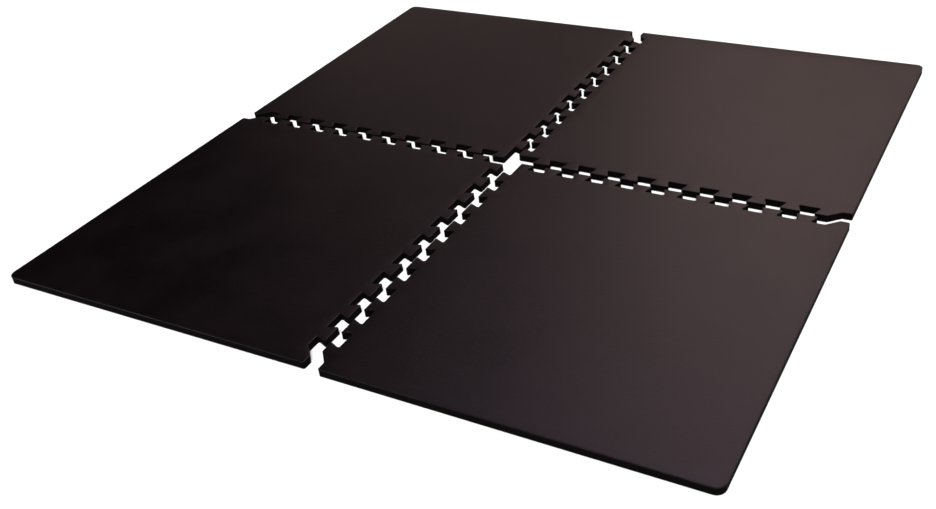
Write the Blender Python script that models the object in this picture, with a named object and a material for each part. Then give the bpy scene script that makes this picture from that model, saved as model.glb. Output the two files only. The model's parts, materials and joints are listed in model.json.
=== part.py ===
"""Four interlocking foam floor tiles, laid two by two with their toothed edges facing each other.

Every tile is the same die-cut slab. Two of its edges are straight and two carry dovetail teeth: one
toothed edge starts with a tooth, the other with a pocket, so four tiles turned by quarter turns
about the middle of the mat lock into one square. Here they lie just short of locking, with a
narrow channel along each seam. Metres, +Z up, +X along the near edge, +Y away from it.
"""

import math

import bmesh
import bpy
from mathutils import Matrix, Vector

# The tile.
TILE_SIDE = 0.6096  # from a straight edge to the tips of the teeth opposite it
THICKNESS = 0.0127
OUTER_RADIUS = 0.014  # the corner between the two straight edges, in plan
SHOULDER_RADIUS = 0.003  # the corners where a straight edge meets a toothed one
EDGE_ROUND = 0.0008  # the softened upper rim

# The teeth.
TOOTH_PITCH = 0.0572
TOOTH_DEPTH = 0.018
TOOTH_FLARE = 0.0026  # a tooth is this much wider at its tip, and narrower at its neck, on each side
STRAIGHT_SHARE = 0.16  # the share of the depth that is straight, at the neck and again at the tip
SIDE_CLEARANCE = 0.0004  # between a tooth and the pocket that takes it, both sides together
TOOTH_RADIUS = 0.0015  # the corners at a tooth's neck and tip, in plan
END_SLANT = 0.010  # the flank nearest to a seam's outer end runs this far to each side of its middle
END_RADIUS = 0.004  # the corners of that flank, in plan
FIRST_TOOTH = 0.0115  # from the straight edge to the centre of the tooth that is flush with it
LEADING_TEETH = 11  # on the edge that starts with a tooth
TRAILING_TEETH = 10  # on the edge that starts with a pocket

BODY_SIDE = TILE_SIDE - TOOTH_DEPTH  # from a straight edge to the bottoms of the pockets opposite it
HALF_WIDTH = (TOOTH_PITCH - SIDE_CLEARANCE) / 4  # half of a tooth's width, halfway along its depth

# How each tile lies: its name, its quarter turns from the near left one, its slight extra turn in
# degrees, and where its inner corner lies from the middle of the mat.
LAID_TILES = (
    ("tile_near_left", 0, 0.13, (-0.0053, 0.0)),
    ("tile_near_right", 1, -0.15, (0.0078, -0.0044)),
    ("tile_far_right", 2, -0.27, (0.0052, 0.0045)),
    ("tile_far_left", 3, -0.04, (0.001, 0.0047)),
)

FOAM_COLOUR = (0.024, 0.018, 0.018, 1.0)
FOAM_ROUGHNESS = 0.62
ARC_STEPS = 2  # straight pieces in the arc at a tooth's corner
CORNER_STEPS = 6  # straight pieces in the arc at a tile's corner


def clear_scene():
    for thing in list(bpy.data.objects):
        bpy.data.objects.remove(thing, do_unlink=True)


def foam_material(name):
    """Closed-cell foam, dark brown-black and softly matt."""
    material = bpy.data.materials.new(name)
    material.use_nodes = True
    shader = material.node_tree.nodes["Principled BSDF"]
    shader.inputs["Base Color"].default_value = FOAM_COLOUR
    shader.inputs["Roughness"].default_value = FOAM_ROUGHNESS
    shader.inputs["Metallic"].default_value = 0.0
    material.diffuse_color = FOAM_COLOUR
    return material


def flank(centre, side):
    """One flank of a tooth, from the neck to the tip, as (distance along the edge, depth, corner
    radius). The two bends between its straight ends and its slope are too slight to round."""
    neck = centre + side * (HALF_WIDTH - TOOTH_FLARE)
    tip = centre + side * (HALF_WIDTH + TOOTH_FLARE)
    bend = STRAIGHT_SHARE * TOOTH_DEPTH
    return [
        (neck, 0.0, TOOTH_RADIUS),
        (neck, bend, 0.0),
        (tip, TOOTH_DEPTH - bend, 0.0),
        (tip, TOOTH_DEPTH, TOOTH_RADIUS),
    ]


def end_flank(centre, side):
    """The flank nearest to a seam's outer end: a plain slant, so its tooth narrows towards the tip."""
    neck = centre + side * (HALF_WIDTH + END_SLANT)
    tip = centre + side * (HALF_WIDTH - END_SLANT)
    return [(neck, 0.0, END_RADIUS), (tip, TOOTH_DEPTH, END_RADIUS)]


def whole_tooth(centre):
    return flank(centre, -1) + flank(centre, 1)[::-1]


def leading_edge():
    """The edge that starts with a tooth. The first is flush with the straight edge that it meets.
    The last ends level with the pocket bottoms of the other toothed edge."""
    centres = [FIRST_TOOTH + step * TOOTH_PITCH for step in range(LEADING_TEETH)]
    points = [(0.0, TOOTH_DEPTH, SHOULDER_RADIUS)] + end_flank(centres[0], 1)[::-1]
    for centre in centres[1:-1]:
        points += whole_tooth(centre)
    points += flank(centres[-1], -1)
    points.append((BODY_SIDE, TOOTH_DEPTH, TOOTH_RADIUS))
    return points


def trailing_edge():
    """The edge that starts with a pocket: its teeth stand opposite the other edge's pockets."""
    centres = [FIRST_TOOTH + (step + 0.5) * TOOTH_PITCH for step in range(TRAILING_TEETH)]
    points = [(0.0, 0.0, SHOULDER_RADIUS)] + end_flank(centres[0], -1) + flank(centres[0], 1)[::-1]
    for centre in centres[1:]:
        points += whole_tooth(centre)
    return points


def tile_corners():
    """The tile's outline as (point, corner radius), counter-clockwise from the outer corner at 0, 0."""
    leading = [(Vector((BODY_SIDE + depth, along)), radius) for along, depth, radius in leading_edge()]
    trailing = [(Vector((along, BODY_SIDE + depth)), radius) for along, depth, radius in trailing_edge()]
    return [(Vector((0.0, 0.0)), OUTER_RADIUS)] + leading + trailing[::-1]


def arc_at(before, corner, after, radius, steps):
    """Points of the arc that rounds a corner of the outline."""
    to_before = (before - corner).normalized()
    to_after = (after - corner).normalized()
    half_angle = to_before.angle(to_after) / 2
    setback = radius / math.tan(half_angle)
    centre = corner + (to_before + to_after).normalized() * (radius / math.sin(half_angle))
    start = corner + to_before * setback - centre
    sweep = start.angle_signed(corner + to_after * setback - centre)
    return [centre + Matrix.Rotation(-sweep * step / steps, 2) @ start for step in range(steps + 1)]


def rounded_outline(corners):
    points = []
    for index, (corner, radius) in enumerate(corners):
        before = corners[index - 1][0]
        after = corners[(index + 1) % len(corners)][0]
        steps = CORNER_STEPS if radius > TOOTH_RADIUS else ARC_STEPS
        points += arc_at(before, corner, after, radius, steps) if radius else [corner]
    return points


def tile_mesh():
    """One slab, cut along the outline, with its middle at the mesh's origin and its underside at z = 0."""
    middle = Vector((TILE_SIDE / 2, TILE_SIDE / 2))
    outline = [point - middle for point in rounded_outline(tile_corners())]
    shape = bmesh.new()
    underside = shape.faces.new([shape.verts.new((x, y, 0.0)) for x, y in outline])
    raised = bmesh.ops.extrude_face_region(shape, geom=[underside])
    top_points = [item for item in raised["geom"] if isinstance(item, bmesh.types.BMVert)]
    bmesh.ops.translate(shape, verts=top_points, vec=(0.0, 0.0, THICKNESS))
    rim = [item for item in raised["geom"] if isinstance(item, bmesh.types.BMEdge)]
    bmesh.ops.bevel(shape, geom=rim, offset=EDGE_ROUND, segments=1, affect="EDGES", clamp_overlap=True)
    bmesh.ops.recalc_face_normals(shape, faces=shape.faces)
    mesh = bpy.data.meshes.new("tile")
    shape.to_mesh(mesh)
    shape.free()
    return mesh


def lay_tile(name, quarter_turns, extra_turn, inner_corner):
    """A tile with its inner corner at the given place, turned about that corner."""
    tile = bpy.data.objects.new(name, tile_mesh())
    bpy.context.collection.objects.link(tile)
    tile.data.materials.append(foam_material(name + "_foam"))
    turn = math.radians(90.0 * quarter_turns + extra_turn)
    from_corner = Matrix.Rotation(turn, 2) @ Vector((-TILE_SIDE / 2, -TILE_SIDE / 2))
    place = Vector(inner_corner) + from_corner
    tile.location = (place.x, place.y, 0.0)
    tile.rotation_euler = (0.0, 0.0, turn)
    return tile


def centre_on_origin(tiles):
    """Shifts the laid tiles so that the middle of their common box stands over the origin."""
    bpy.context.view_layer.update()
    corners = [tile.matrix_world @ vertex.co for tile in tiles for vertex in tile.data.vertices]
    middle_x = (min(c.x for c in corners) + max(c.x for c in corners)) / 2
    middle_y = (min(c.y for c in corners) + max(c.y for c in corners)) / 2
    for tile in tiles:
        tile.location.x -= middle_x
        tile.location.y -= middle_y


def build():
    clear_scene()
    centre_on_origin([lay_tile(*laid) for laid in LAID_TILES])


build()
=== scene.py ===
import json
import math

import bmesh
import bpy
from mathutils import Matrix, Vector, noise


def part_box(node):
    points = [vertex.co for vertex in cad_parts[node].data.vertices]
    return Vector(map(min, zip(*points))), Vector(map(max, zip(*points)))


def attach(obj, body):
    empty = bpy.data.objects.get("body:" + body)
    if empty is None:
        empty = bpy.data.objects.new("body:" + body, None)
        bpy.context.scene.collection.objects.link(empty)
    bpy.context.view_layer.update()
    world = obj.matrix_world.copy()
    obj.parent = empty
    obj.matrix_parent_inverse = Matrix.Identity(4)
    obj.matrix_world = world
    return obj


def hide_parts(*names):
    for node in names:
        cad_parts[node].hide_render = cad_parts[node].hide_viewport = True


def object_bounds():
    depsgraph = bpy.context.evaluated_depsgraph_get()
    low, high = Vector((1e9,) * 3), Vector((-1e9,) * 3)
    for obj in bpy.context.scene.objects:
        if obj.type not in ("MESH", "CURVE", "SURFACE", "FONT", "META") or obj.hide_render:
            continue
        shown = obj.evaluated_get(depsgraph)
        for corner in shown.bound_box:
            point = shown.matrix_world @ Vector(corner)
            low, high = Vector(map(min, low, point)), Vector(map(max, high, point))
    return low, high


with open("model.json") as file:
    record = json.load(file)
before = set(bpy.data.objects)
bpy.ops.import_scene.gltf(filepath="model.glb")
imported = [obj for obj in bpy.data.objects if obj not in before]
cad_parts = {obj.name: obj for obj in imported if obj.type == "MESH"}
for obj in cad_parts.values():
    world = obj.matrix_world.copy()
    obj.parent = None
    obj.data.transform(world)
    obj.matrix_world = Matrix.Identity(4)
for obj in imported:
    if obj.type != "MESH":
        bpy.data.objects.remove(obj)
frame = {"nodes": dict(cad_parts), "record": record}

CAD_LOW, CAD_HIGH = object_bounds()
RECORD = frame["record"]

# Which body each tile has, and a number that sets its own unevenness and shifts its patterns.
BODY_OF = {node: body for body, nodes in RECORD["behaviour"]["bodies"].items() for node in nodes}
TILES = {"tile_near_left": 11.0, "tile_near_right": 23.0, "tile_far_right": 37.0, "tile_far_left": 41.0}

# The camera: where its axis meets the floor, from the middle of the mat, and how it looks there.
AIM_OFFSET = Vector((0.191, -0.206, 0.0))
CAMERA_DISTANCE = 1.697
CAMERA_AZIMUTH = math.radians(29.35)
CAMERA_ELEVATION = math.radians(33.70)
CAMERA_ROLL = math.radians(-5.37)
CAMERA_LENS = 40.4
CAMERA_SENSOR = 36.0
CAMERA_SHIFT = (-0.093, -0.0098)
CAMERA_REACH = 100.0

# The soft edges of a die-cut tile.
RIM_RADIUS = 0.0012  # the rounded upper edge
RIM_STEPS = 6
RIM_SKIN = 0.8  # the share of the rounded edge's height that the skin reaches down
FOOT_RADIUS = 0.0006  # the lower edge
FOOT_MIDDLE = 0.3  # where the lower edge's middle point lies, as a share of its radius
WAIST = 0.00025  # how far the cut wall draws in at its middle
WALL_STEPS = 4
MERGE = 0.00001
CORNER_CUT = 0.0005  # how much of an outline's corner each smoothing pass takes off
CORNER_SHARE = 0.25  # of the shorter side beside it, at most
SLIGHT_TURN = math.radians(4)
SMOOTHING_PASSES = 2
GRID_STEP = 0.02  # the spacing of the surface's mesh

# The faint unevenness of a foam sheet that has been rolled and walked on.
SWELL_HEIGHT = 0.0003
SWELL_LENGTH = 0.17
RIPPLE_HEIGHT = 0.0001
RIPPLE_LENGTH = 0.05
RIPPLE_SEED = 5.0  # what keeps the ripple from following the swell

# The two materials of a tile, and how upright a face's normal is outside the rounded upper edge.
SKIN, CUT = 0, 1
FLAT_ENOUGH = 0.985

# The embossed weave.
BLOCK = 0.0048  # one block of parallel ridges
RIDGES_PER_BLOCK = 3
WAVE_UNIT = 2 * math.pi / 20  # the wavelength of a Wave Texture of scale 1
WAVE_DISTORTION = 0.6

# The noise patterns of the skin and the cut: scale, detail and roughness. A stretch is how much
# finer a pattern is along each axis.
MOTTLE = (9.0, 4.0, 0.6)
GRAIN = (700.0, 3.0, 0.6)
WEAR = (60.0, 3.0, 0.7)
STREAKS = (1.0, 4.0, 0.65)
STREAK_STRETCH = (14.0, 120.0, 1.0)
DRAWN = (1.0, 3.0, 0.65)
DRAWN_STRETCH = (45.0, 360.0, 1.0)
CELLS = (1400.0, 3.0, 0.7)
DRAG = (420.0, 3.0, 0.6)
DRAG_STRETCH = (1.0, 1.0, 0.12)

# The values of a pattern between which its effect rises from none to full.
MOTTLE_TONE = (0.3, 0.7)
MOTTLE_GLOSS = (0.35, 0.68)
WEAR_RISE = (0.42, 0.62)
SCUFF_RISE = (0.62, 0.78)
CELL_TONE = (0.35, 0.7)

# The skin: how strongly its marks show, its roughness and what the patterns add to it, and its
# relief, whose heights are shares of the grain's.
SKIN_DARK = (0.0009, 0.0004, 0.0005, 1.0)
SKIN_LIGHT = (0.0022, 0.0012, 0.0014, 1.0)
SCUFF_COLOUR = (0.016, 0.0125, 0.013, 1.0)
SCUFF_AMOUNT = 0.35
WEAR_AMOUNT = 0.5
SKIN_ROUGHNESS = 0.34
PATCHY_ROUGHNESS = 0.03
GRAINY_ROUGHNESS = 0.06
SKIN_GLOSS = 0.4
WEAVE_RELIEF = 0.4
DRAWN_RELIEF = 2.4
SKIN_BUMP = 0.55
EMBOSS_DEPTH = 0.0002

# The cut, in the same way. Its relief's heights are shares of the cells'.
CUT_DARK = (0.0010, 0.0007, 0.0008, 1.0)
CUT_LIGHT = (0.0028, 0.0021, 0.0022, 1.0)
CUT_ROUGHNESS = 0.82
CELL_ROUGHNESS = 0.15
CUT_GLOSS = 0.04
DRAG_RELIEF = 0.8
CUT_BUMP = 0.7
CELL_DEPTH = 0.0002

# The floor and the surround.
FLOOR_COLOUR = (0.86, 0.86, 0.865, 1.0)
FLOOR_ROUGHNESS = 0.9
FLOOR_SIDE = 24.0
FLOOR_PARTS = 8
FLOOR_DROP = 0.0002  # how far the floor lies below the tiles
PALE_WORLD = (0.92, 0.925, 0.93, 1.0)
DIM_WORLD = (0.9, 0.93, 1.0, 1.0)
DIM_STRENGTH = 0.01

# The two lamps, from the middle of the mat.
KEY_PLACE = Vector((1.6, -2.6, 4.2))
KEY_STRENGTH = 4.0
KEY_SPREAD = math.radians(30)
OVERHEAD_PLACE = Vector((0.2, 0.4, 3.2))
OVERHEAD_POWER = 45.0
OVERHEAD_SIDE = 3.4

# The soft panels that the sheen shows: where each stands from the middle of the mat, its power,
# width, height and colour.
WARM = (1.0, 0.72, 0.67)
ROSE = (1.0, 0.74, 1.0)
PANELS = {
    "high_panel": ((-0.15, 1.66, 4.04), 37.0, 2.5, 2.4, ROSE),
    "back_panel": ((-0.15, 3.54, 2.56), 31.0, 2.5, 2.4, WARM),
    "far_panel": ((-2.4, 3.1, 1.0), 2.3, 1.6, 1.2, WARM),
    "right_panel": ((3.0, 1.4, 1.8), 18.0, 2.0, 1.6, WARM),
    "near_panel": ((2.9, -2.2, 1.8), 18.0, 2.4, 1.6, WARM),
    "left_panel": ((-3.0, -2.0, 1.8), 20.0, 3.0, 1.8, WARM),
}


# ---- nodes -------------------------------------------------------------------------------------


class Nodes:
    """Adds and links the nodes of one material."""

    def __init__(self, material):
        material.use_nodes = True
        self.tree = material.node_tree
        self.shader = self.tree.nodes["Principled BSDF"]

    def add(self, kind, inputs=None, **settings):
        node = self.tree.nodes.new(kind)
        for name, value in settings.items():
            setattr(node, name, value)
        for name, value in (inputs or {}).items():
            self.set(node, name, value)
        return node

    def set(self, node, name, value):
        if isinstance(value, bpy.types.NodeSocket):
            self.tree.links.new(value, node.inputs[name])
        else:
            node.inputs[name].default_value = value

    def calculate(self, operation, first, second):
        return self.add("ShaderNodeMath", {0: first, 1: second}, operation=operation).outputs[0]

    def plus(self, first, second):
        return self.calculate("ADD", first, second)

    def times(self, first, second):
        return self.calculate("MULTIPLY", first, second)

    def ramp(self, value, low, high):
        """value, as 0 below low and 1 above high, with a smooth rise between."""
        inputs = {"Value": value, "From Min": low, "From Max": high}
        return self.add("ShaderNodeMapRange", inputs, interpolation_type="SMOOTHSTEP").outputs[0]

    def mix(self, amount, first, second):
        node = self.add("ShaderNodeMix", data_type="RGBA")
        self.set(node, "Factor", amount)
        colours = [socket for socket in node.inputs if socket.type == "RGBA"]
        for socket, value in zip(colours, (first, second)):
            if isinstance(value, bpy.types.NodeSocket):
                self.tree.links.new(value, socket)
            else:
                socket.default_value = value
        return next(socket for socket in node.outputs if socket.type == "RGBA")

    def noise(self, place, pattern):
        scale, detail, roughness = pattern
        inputs = {"Vector": place, "Scale": scale, "Detail": detail, "Roughness": roughness}
        return self.add("ShaderNodeTexNoise", inputs).outputs["Fac"]

    def place(self, offset, stretch=(1.0, 1.0, 1.0)):
        """The tile's own coordinates, stretched and then shifted."""
        source = self.add("ShaderNodeTexCoord").outputs["Object"]
        inputs = {"Vector": source, "Location": offset, "Scale": stretch}
        return self.add("ShaderNodeMapping", inputs).outputs[0]


def weave_height(nodes, place):
    """Blocks of fine ridges, turned crosswise from one block to the next."""
    wave = {"Vector": place, "Scale": WAVE_UNIT / (BLOCK / RIDGES_PER_BLOCK), "Distortion": WAVE_DISTORTION}
    along = nodes.add("ShaderNodeTexWave", wave, bands_direction="X")
    across = nodes.add("ShaderNodeTexWave", wave, bands_direction="Y")
    blocks = nodes.add("ShaderNodeTexChecker", {"Vector": place, "Scale": 1 / BLOCK})
    one = nodes.times(along.outputs["Fac"], blocks.outputs["Fac"])
    other_blocks = nodes.calculate("SUBTRACT", 1.0, blocks.outputs["Fac"])
    other = nodes.times(across.outputs["Fac"], other_blocks)
    return nodes.plus(one, other)


def relief(nodes, height, strength, depth):
    bump = nodes.add("ShaderNodeBump", {"Height": height, "Strength": strength, "Distance": depth})
    nodes.set(nodes.shader, "Normal", bump.outputs[0])


def skin_material(name, seed):
    """The embossed skin of the foam: a fine weave, a pebbled grain and a coarser drawn one, slightly
    mottled and scuffed, and worn along the rounded edge."""
    material = bpy.data.materials.new(name)
    nodes = Nodes(material)
    place = nodes.place((seed, seed / 3, 0.0))
    mottle = nodes.noise(place, MOTTLE)
    grain = nodes.noise(place, GRAIN)

    rim = nodes.add("ShaderNodeAttribute", attribute_name="rim").outputs["Fac"]
    worn = nodes.times(rim, nodes.ramp(nodes.noise(place, WEAR), *WEAR_RISE))
    streaks = nodes.noise(nodes.place((seed, 0.0, 0.0), STREAK_STRETCH), STREAKS)
    scuffs = nodes.times(nodes.ramp(streaks, *SCUFF_RISE), SCUFF_AMOUNT)
    marks = nodes.calculate("MAXIMUM", scuffs, nodes.times(worn, WEAR_AMOUNT))
    tone = nodes.mix(nodes.ramp(mottle, *MOTTLE_TONE), SKIN_DARK, SKIN_LIGHT)
    nodes.set(nodes.shader, "Base Color", nodes.mix(marks, tone, SCUFF_COLOUR))

    patchy = nodes.times(nodes.ramp(mottle, *MOTTLE_GLOSS), PATCHY_ROUGHNESS)
    grainy = nodes.times(grain, GRAINY_ROUGHNESS)
    nodes.set(nodes.shader, "Roughness", nodes.plus(nodes.plus(patchy, grainy), SKIN_ROUGHNESS))
    nodes.set(nodes.shader, "Specular IOR Level", SKIN_GLOSS)

    drawn = nodes.noise(nodes.place((0.0, seed, 0.0), DRAWN_STRETCH), DRAWN)
    height = nodes.plus(nodes.times(weave_height(nodes, place), WEAVE_RELIEF), grain)
    height = nodes.plus(height, nodes.times(drawn, DRAWN_RELIEF))
    relief(nodes, height, SKIN_BUMP, EMBOSS_DEPTH)
    return material


def cut_material(name, seed):
    """The die-cut wall of the foam: open cells, dull and nearly black, with faint drag lines."""
    material = bpy.data.materials.new(name)
    nodes = Nodes(material)
    cells = nodes.noise(nodes.place((seed, 0.0, 0.0)), CELLS)
    drag = nodes.noise(nodes.place((seed, 0.0, 0.0), DRAG_STRETCH), DRAG)
    nodes.set(nodes.shader, "Base Color", nodes.mix(nodes.ramp(cells, *CELL_TONE), CUT_DARK, CUT_LIGHT))
    nodes.set(nodes.shader, "Roughness", nodes.plus(nodes.times(cells, CELL_ROUGHNESS), CUT_ROUGHNESS))
    nodes.set(nodes.shader, "Specular IOR Level", CUT_GLOSS)
    relief(nodes, nodes.plus(cells, nodes.times(drag, DRAG_RELIEF)), CUT_BUMP, CELL_DEPTH)
    return material


# ---- tiles -------------------------------------------------------------------------------------


def foot_outline(node):
    """The outline of a tile's underside, in order, anticlockwise seen from above, and its height."""
    shape = bmesh.new()
    shape.from_mesh(node.data)
    bmesh.ops.remove_doubles(shape, verts=shape.verts, dist=MERGE)
    floor = min(vertex.co.z for vertex in shape.verts)
    down = [face for face in shape.faces if all(abs(v.co.z - floor) < MERGE for v in face.verts)]
    beside = {}
    for face in down:
        for loop in face.loops:
            outermost = sum(other in down for other in loop.edge.link_faces) == 1
            if outermost:
                beside[loop.link_loop_next.vert] = loop.vert
    start = next(iter(beside))
    outline = [start]
    while beside[outline[-1]] is not start:
        outline.append(beside[outline[-1]])
    points = [vertex.co.to_2d() for vertex in outline]
    shape.free()
    return points, floor


def smoothed(points):
    """The outline with each turning corner replaced by two points a little way along its sides."""
    result = []
    for index, corner in enumerate(points):
        before, after = points[index - 1], points[(index + 1) % len(points)]
        into, out = corner - before, after - corner
        if into.angle(out) < SLIGHT_TURN:
            result.append(corner)
            continue
        cut = min(CORNER_CUT, CORNER_SHARE * min(into.length, out.length))
        result += [corner - into.normalized() * cut, corner + out.normalized() * cut]
    return result


def inward(points):
    """For each point, the step that moves both of its sides inwards by one metre."""
    steps = []
    for index, point in enumerate(points):
        into = (point - points[index - 1]).normalized()
        out = (points[(index + 1) % len(points)] - point).normalized()
        normals = [Vector((-side.y, side.x)) for side in (into, out)]
        middle = (normals[0] + normals[1]).normalized()
        steps.append(middle / middle.dot(normals[0]))
    return steps


def edge_profile(floor, top):
    """(distance drawn in, height), from the underside's edge to the top's."""
    bend = FOOT_RADIUS * FOOT_MIDDLE
    rows = [(FOOT_RADIUS, floor), (bend, floor + bend)]
    foot, shoulder = floor + FOOT_RADIUS, top - RIM_RADIUS
    for step in range(WALL_STEPS + 1):
        share = step / WALL_STEPS
        rows.append((WAIST * math.sin(math.pi * share), foot + (shoulder - foot) * share))
    for step in range(1, RIM_STEPS + 1):
        turn = math.pi / 2 * step / RIM_STEPS
        rows.append((RIM_RADIUS * (1 - math.cos(turn)), shoulder + RIM_RADIUS * math.sin(turn)))
    return rows


def swell(x, y, seed):
    """How far the surface stands above the flat, in metres: always a little, never below."""
    long = noise.noise(Vector((x / SWELL_LENGTH, y / SWELL_LENGTH, seed)))
    short = noise.noise(Vector((x / RIPPLE_LENGTH, y / RIPPLE_LENGTH, seed + RIPPLE_SEED)))
    return SWELL_HEIGHT * (0.5 + 0.5 * long) + RIPPLE_HEIGHT * (0.5 + 0.5 * short)


def cut_into_grid(shape, low, high):
    """Cuts the whole shape along a square grid, so that its wide faces can follow the swell."""
    for axis in (0, 1):
        normal = Vector((0.0, 0.0, 0.0))
        normal[axis] = 1.0
        for step in range(1, int((high[axis] - low[axis]) / GRID_STEP)):
            place = Vector(low)
            place[axis] += step * GRID_STEP
            parts = shape.verts[:] + shape.edges[:] + shape.faces[:]
            bmesh.ops.bisect_plane(shape, geom=parts, plane_co=place, plane_no=normal, dist=MERGE)


def skin_down_the_rim(rim_faces, top):
    """Gives the skin's material to the faces given and to those below them on the rounded edge."""
    lowest = top - RIM_RADIUS * RIM_SKIN
    for _ in range(RIM_STEPS - 2):
        edges = {edge for face in rim_faces for edge in face.edges}
        beside = {face for edge in edges for face in edge.link_faces}
        rim_faces = rim_faces | {face for face in beside if min(v.co.z for v in face.verts) > lowest}
    for face in rim_faces:
        face.material_index = SKIN


def tile_shape(points, floor, top):
    """The closed shape with the given outline: a ring of points for each row of the edge's profile."""
    steps = inward(points)
    shape = bmesh.new()
    rings = []
    for inset, height in edge_profile(floor, top):
        ring = [point + step * inset for point, step in zip(points, steps)]
        rings.append([shape.verts.new((p.x, p.y, height)) for p in ring])
    for under, over in zip(rings, rings[1:]):
        for index in range(len(points)):
            after = (index + 1) % len(points)
            wall = shape.faces.new((under[index], under[after], over[after], over[index]))
            wall.material_index = CUT
    shape.faces.new(rings[0][::-1])
    shape.faces.new(rings[-1])
    skin_down_the_rim({face for vertex in rings[-1] for face in vertex.link_faces}, top)
    return shape


def raise_swell(shape, floor, top, seed):
    """Lifts each point by the swell, in full at the top and less and less down the wall."""
    for vertex in shape.verts:
        share = (vertex.co.z - floor) / (top - floor)
        vertex.co.z += swell(vertex.co.x, vertex.co.y, seed) * share ** 2


def tile_piece(node_name, seed):
    """One soft-edged foam tile in the place of its plain solid."""
    low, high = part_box(node_name)
    points, floor = foot_outline(frame["nodes"][node_name])
    for _ in range(SMOOTHING_PASSES):
        points = smoothed(points)
    shape = tile_shape(points, floor, high.z)
    cut_into_grid(shape, low, high)
    raise_swell(shape, floor, high.z, seed)
    bmesh.ops.triangulate(shape, faces=[face for face in shape.faces if len(face.verts) > 4])
    mesh = bpy.data.meshes.new(node_name + "_foam")
    shape.to_mesh(mesh)
    shape.free()
    mark_rim(mesh)
    mesh.shade_smooth()
    mesh.materials.append(skin_material(node_name + "_skin", seed))
    mesh.materials.append(cut_material(node_name + "_cut", seed))
    piece = bpy.data.objects.new(node_name + "_foam", mesh)
    bpy.context.collection.objects.link(piece)
    return piece


def mark_rim(mesh):
    """A value on each face: 1 on the rounded upper edge and 0 elsewhere."""
    values = mesh.attributes.new("rim", "FLOAT", "FACE")
    for face, value in zip(mesh.polygons, values.data):
        value.value = float(face.material_index == SKIN and face.normal.z < FLAT_ENOUGH)


def lay_tiles():
    for node_name, seed in TILES.items():
        piece = tile_piece(node_name, seed)
        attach(piece, BODY_OF[node_name])
        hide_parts(node_name)


# ---- stage, light and camera -------------------------------------------------------------------


def make_floor():
    mesh = bpy.data.meshes.new("floor")
    shape = bmesh.new()
    bmesh.ops.create_grid(shape, x_segments=FLOOR_PARTS, y_segments=FLOOR_PARTS, size=FLOOR_SIDE / 2)
    shape.to_mesh(mesh)
    shape.free()
    floor = bpy.data.objects.new("floor", mesh)
    floor.location.z = CAD_LOW.z - FLOOR_DROP
    bpy.context.collection.objects.link(floor)
    material = bpy.data.materials.new("pale_floor")
    nodes = Nodes(material)
    nodes.set(nodes.shader, "Base Color", FLOOR_COLOUR)
    nodes.set(nodes.shader, "Roughness", FLOOR_ROUGHNESS)
    nodes.set(nodes.shader, "Specular IOR Level", 0.0)
    mesh.materials.append(material)


def make_world():
    """A dim surround for the light, and a pale one behind whatever the camera sees past the floor."""
    world = bpy.data.worlds.new("studio")
    world.use_nodes = True
    tree = world.node_tree
    dim = tree.nodes["Background"]
    dim.inputs["Color"].default_value = DIM_WORLD
    dim.inputs["Strength"].default_value = DIM_STRENGTH
    pale = tree.nodes.new("ShaderNodeBackground")
    pale.inputs["Color"].default_value = PALE_WORLD
    seen = tree.nodes.new("ShaderNodeLightPath").outputs["Is Camera Ray"]
    both = tree.nodes.new("ShaderNodeMixShader")
    tree.links.new(seen, both.inputs[0])
    tree.links.new(dim.outputs[0], both.inputs[1])
    tree.links.new(pale.outputs[0], both.inputs[2])
    tree.links.new(both.outputs[0], tree.nodes["World Output"].inputs[0])
    bpy.context.scene.world = world


def add_light(name, kind, place, target, energy, **settings):
    light = bpy.data.lights.new(name, kind)
    light.energy = energy
    for key, value in settings.items():
        setattr(light, key, value)
    lamp = bpy.data.objects.new(name, light)
    lamp.location = place
    lamp.rotation_euler = (Vector(target) - Vector(place)).to_track_quat("-Z", "Y").to_euler()
    bpy.context.collection.objects.link(lamp)
    return lamp


def make_lights(middle):
    """Two lamps light the floor and the foam evenly. Panels round the mat only show in its sheen."""
    key = add_light("key", "SUN", middle + KEY_PLACE, middle, KEY_STRENGTH, angle=KEY_SPREAD)
    square = {"shape": "SQUARE", "size": OVERHEAD_SIDE}
    overhead = add_light("overhead", "AREA", middle + OVERHEAD_PLACE, middle, OVERHEAD_POWER, **square)
    for lamp in (key, overhead):
        lamp.visible_glossy = False
        lamp.visible_camera = False
    for name, (place, energy, width, height, colour) in PANELS.items():
        settings = {"shape": "RECTANGLE", "size": width, "size_y": height, "color": colour}
        panel = add_light(name, "AREA", middle + Vector(place), middle, energy, **settings)
        panel.visible_diffuse = False
        panel.visible_camera = False


def make_camera(middle):
    camera = bpy.data.cameras.new("camera")
    camera.lens = CAMERA_LENS
    camera.sensor_width = CAMERA_SENSOR
    camera.shift_x, camera.shift_y = CAMERA_SHIFT
    camera.clip_end = CAMERA_REACH
    camera.dof.use_dof = False
    level = math.cos(CAMERA_ELEVATION)
    sideways, away = math.sin(CAMERA_AZIMUTH) * level, -math.cos(CAMERA_AZIMUTH) * level
    back = Vector((sideways, away, math.sin(CAMERA_ELEVATION)))
    holder = bpy.data.objects.new("camera", camera)
    bpy.context.collection.objects.link(holder)
    turn = (-back).to_track_quat("-Z", "Y").to_matrix() @ Matrix.Rotation(CAMERA_ROLL, 3, "Z")
    holder.matrix_world = turn.to_4x4()
    holder.location = middle + AIM_OFFSET + back * CAMERA_DISTANCE
    bpy.context.scene.camera = holder


middle = (CAD_LOW + CAD_HIGH) / 2
middle.z = CAD_LOW.z
bpy.context.scene.view_settings.view_transform = "Standard"
make_camera(middle)
make_floor()
make_world()
make_lights(middle)
lay_tiles()
